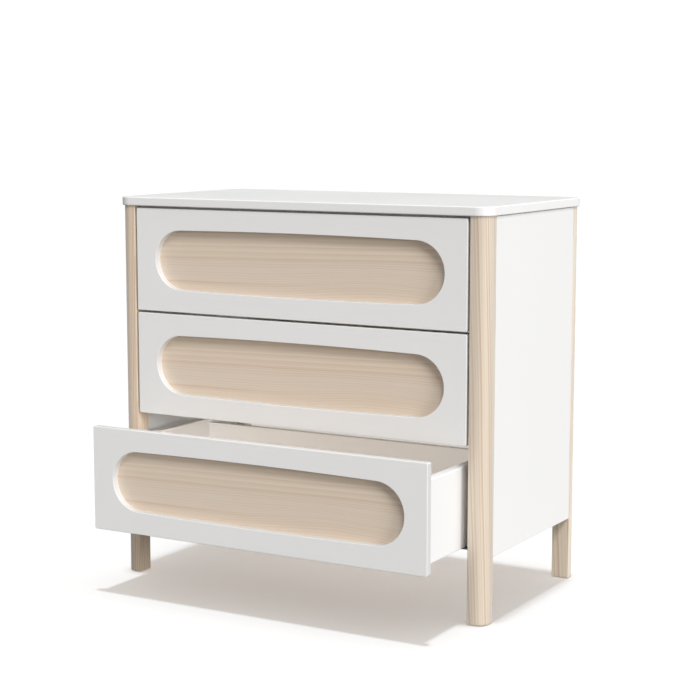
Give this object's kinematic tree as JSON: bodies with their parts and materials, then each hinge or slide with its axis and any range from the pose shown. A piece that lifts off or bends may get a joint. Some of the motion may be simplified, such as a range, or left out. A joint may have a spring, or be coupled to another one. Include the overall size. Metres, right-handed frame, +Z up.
{
  "type": "chest of drawers",
  "caption": "Low chest with stacked push-open drawers between round-cornered wooden posts; each white front has a pill-shaped cut-out backed with wood; lowest drawer ajar.",
  "frame": {"origin": "on the floor, at the middle of the box round the chest as stored, with its lowest drawer open 166.5 mm", "axes": "+X to the right, as seen from the front; +Y from the fronts to the back; +Z up"},
  "size_m": [0.91, 0.644, 0.85],
  "materials": {
    "white_lacquer": "satin lacquer",
    "white_board": "melamine",
    "plywood": "clear varnish",
    "pine": "matt varnish",
    "beech": "raw",
    "zinc_steel": "zinc plated",
    "cast_zinc": "die cast",
    "galvanised_steel": "galvanised",
    "grey_plastic": "moulded",
    "plunger_plastic": "moulded",
    "glide_plastic": "moulded"
  },
  "bodies": {
    "carcass": {"top_panel": "white_lacquer", "right_side_panel": "white_lacquer", "left_side_panel": "white_lacquer", "front_right_post": "pine", "front_left_post": "pine", "rear_right_post": "pine", "rear_left_post": "pine", "back_panel": "white_board", "front_top_rail": "white_lacquer", "rear_top_rail": "white_lacquer", "rear_bottom_rail": "white_lacquer", "side_panel_dowels": "beech", "cam_bolts": "zinc_steel", "cam_locks": "cast_zinc", "top_screws": "zinc_steel", "back_panel_screws": "zinc_steel", "foot_glides": "glide_plastic", "runner_screws": "zinc_steel", "ejector_housings": "grey_plastic", "lower_runner_fixed_members": "galvanised_steel", "middle_runner_fixed_members": "galvanised_steel", "upper_runner_fixed_members": "galvanised_steel"},
    "lower_drawer": {"lower_drawer_front_board": "white_lacquer", "lower_drawer_inner_front": "pine", "lower_drawer_right_side": "white_lacquer", "lower_drawer_left_side": "white_lacquer", "lower_drawer_back_board": "white_lacquer", "lower_drawer_bottom_board": "plywood", "lower_drawer_box_dowels": "beech", "lower_drawer_front_screws": "zinc_steel", "lower_drawer_runner_members": "galvanised_steel", "lower_drawer_runner_catches": "grey_plastic"},
    "lower_intermediates": {"lower_runner_intermediates": "galvanised_steel"},
    "lower_plungers": {"lower_ejector_plungers": "plunger_plastic"},
    "middle_drawer": {"middle_drawer_front_board": "white_lacquer", "middle_drawer_inner_front": "pine", "middle_drawer_right_side": "white_lacquer", "middle_drawer_left_side": "white_lacquer", "middle_drawer_back_board": "white_lacquer", "middle_drawer_bottom_board": "plywood", "middle_drawer_box_dowels": "beech", "middle_drawer_front_screws": "zinc_steel", "middle_drawer_runner_members": "galvanised_steel", "middle_drawer_runner_catches": "grey_plastic"},
    "middle_intermediates": {"middle_runner_intermediates": "galvanised_steel"},
    "middle_plungers": {"middle_ejector_plungers": "plunger_plastic"},
    "upper_drawer": {"upper_drawer_front_board": "white_lacquer", "upper_drawer_inner_front": "pine", "upper_drawer_right_side": "white_lacquer", "upper_drawer_left_side": "white_lacquer", "upper_drawer_back_board": "white_lacquer", "upper_drawer_bottom_board": "plywood", "upper_drawer_box_dowels": "beech", "upper_drawer_front_screws": "zinc_steel", "upper_drawer_runner_members": "galvanised_steel", "upper_drawer_runner_catches": "grey_plastic"},
    "upper_intermediates": {"upper_runner_intermediates": "galvanised_steel"},
    "upper_plungers": {"upper_ejector_plungers": "plunger_plastic"}
  },
  "joints": [
    {"name": "lower_drawer_slide", "type": "slide", "parent": "carcass", "child": "lower_drawer", "axis": [0, -1, 0], "range_m": [-0.1665, 0.1735]},
    {"name": "lower_intermediate_slide", "type": "slide", "parent": "carcass", "child": "lower_intermediates", "axis": [0, -1, 0], "range_m": [-0.0833, 0.0868]},
    {"name": "lower_plunger_slide", "type": "slide", "parent": "carcass", "child": "lower_plungers", "axis": [0, 1, 0], "range_m": [0, 0.003], "stiffness_N_per_m": 800},
    {"name": "middle_drawer_slide", "type": "slide", "parent": "carcass", "child": "middle_drawer", "axis": [0, -1, 0], "range_m": [0, 0.34]},
    {"name": "middle_intermediate_slide", "type": "slide", "parent": "carcass", "child": "middle_intermediates", "axis": [0, -1, 0], "range_m": [0, 0.17]},
    {"name": "middle_plunger_slide", "type": "slide", "parent": "carcass", "child": "middle_plungers", "axis": [0, 1, 0], "range_m": [0, 0.003], "stiffness_N_per_m": 800},
    {"name": "upper_drawer_slide", "type": "slide", "parent": "carcass", "child": "upper_drawer", "axis": [0, -1, 0], "range_m": [0, 0.34]},
    {"name": "upper_intermediate_slide", "type": "slide", "parent": "carcass", "child": "upper_intermediates", "axis": [0, -1, 0], "range_m": [0, 0.17]},
    {"name": "upper_plunger_slide", "type": "slide", "parent": "carcass", "child": "upper_plungers", "axis": [0, 1, 0], "range_m": [0, 0.003], "stiffness_N_per_m": 800}
  ],
  "couplings": [
    {"joint": "lower_intermediate_slide", "follows": "lower_drawer_slide", "ratio": 0.5},
    {"joint": "middle_intermediate_slide", "follows": "middle_drawer_slide", "ratio": 0.5},
    {"joint": "upper_intermediate_slide", "follows": "upper_drawer_slide", "ratio": 0.5}
  ]
}
